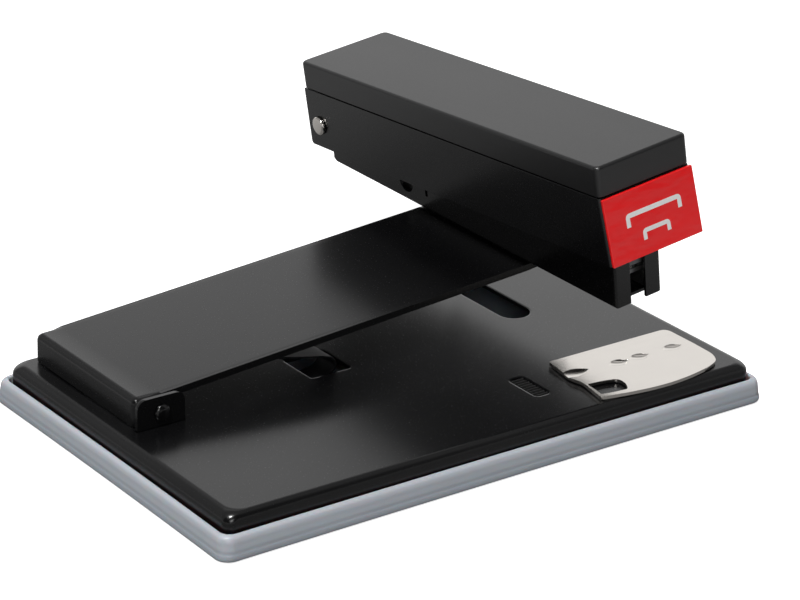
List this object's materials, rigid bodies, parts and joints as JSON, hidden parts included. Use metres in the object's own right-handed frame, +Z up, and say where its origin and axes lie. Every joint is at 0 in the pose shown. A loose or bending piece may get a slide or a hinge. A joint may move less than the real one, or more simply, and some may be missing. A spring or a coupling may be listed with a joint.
{
  "type": "desk stapler",
  "caption": "Flat-bed desk stapler: a side-hinged steel arm carries a stapling head over an anvil on a wide pressed-steel base in a soft plastic tray.",
  "frame": {"origin": "middle of the tray's underside, on the table", "axes": "+X from the hinge end to the head end, -Y towards the operator, +Z up"},
  "size_m": [0.155, 0.133, 0.0683],
  "materials": {
    "black_steel": "gloss black stove enamel",
    "black_plastic": "satin black moulded plastic",
    "tray_plastic": "translucent soft blue-grey plastic",
    "red_label": "gloss red printed plate",
    "nickel": "bright nickel plate",
    "rubber": "matt black rubber",
    "spring_steel": "oiled spring steel",
    "zinc_steel": "zinc plated steel"
  },
  "bodies": {
    "base": {"base_tray": "tray_plastic", "base_shell": "black_steel", "foot_fl": "rubber", "foot_fr": "rubber", "foot_bl": "rubber", "foot_br": "rubber", "hinge_bracket": "black_steel", "bracket_rivet_front": "black_steel", "bracket_rivet_rear": "black_steel", "hinge_pin": "black_steel", "anvil_plate": "nickel", "anvil_retainer": "spring_steel", "arm_spring": "spring_steel", "spring_rivet": "zinc_steel", "button_guide": "black_plastic", "button_spring": "spring_steel"},
    "arm": {"arm_brace": "black_steel", "arm_plate": "black_steel", "handle_pin": "nickel", "handle_spring": "spring_steel", "head_nut_front": "zinc_steel", "head_nut_rear": "zinc_steel", "head_rivet_front": "zinc_steel", "head_rivet_rear": "zinc_steel", "head_screw_front": "zinc_steel", "head_screw_rear": "zinc_steel", "mag_channel": "black_steel", "mag_rail": "zinc_steel", "pin_spacer_left": "zinc_steel", "pin_spacer_right": "zinc_steel", "pusher_rod": "nickel", "pusher_spring": "spring_steel", "rear_block": "zinc_steel", "rod_guide": "zinc_steel", "spring_seat": "zinc_steel", "staple_strip": "nickel"},
    "handle": {"handle_frame": "black_steel", "top_cover": "black_plastic", "label_plate": "red_label", "cover_screw_front": "zinc_steel", "cover_screw_rear": "zinc_steel", "driver_blade": "spring_steel", "driver_block": "zinc_steel", "driver_rivet_left": "zinc_steel", "driver_rivet_right": "zinc_steel"},
    "pusher": {"pusher": "zinc_steel"},
    "button": {"release_button": "black_plastic"}
  },
  "joints": [
    {"name": "arm_hinge", "type": "hinge", "parent": "base", "child": "arm", "pos_m": [-0.0627, 0, 0.0134], "axis": [0, 1, 0], "range_deg": [0, 7.5], "stiffness_Nm_per_rad": 0.6, "springref_deg": -51.57, "deforming": ["arm_spring"]},
    {"name": "handle_hinge", "type": "hinge", "parent": "arm", "child": "handle", "pos_m": [0.0476, 0.07666, 0.04108], "axis": [0.991, 0, 0.134], "range_deg": [0, 4.5], "stiffness_Nm_per_rad": 3, "springref_deg": -5.73, "deforming": ["handle_spring"]},
    {"name": "pusher_slide", "type": "slide", "parent": "arm", "child": "pusher", "axis": [0, 1, 0], "range_m": [0, 0.04], "stiffness_N_per_m": 60, "springref_m": -0.03, "deforming": ["pusher_spring"]},
    {"name": "button_press", "type": "slide", "parent": "base", "child": "button", "axis": [0, 0, -1], "range_m": [0, 0.0015], "stiffness_N_per_m": 400, "springref_m": -0.001, "deforming": ["button_spring"]}
  ]
}
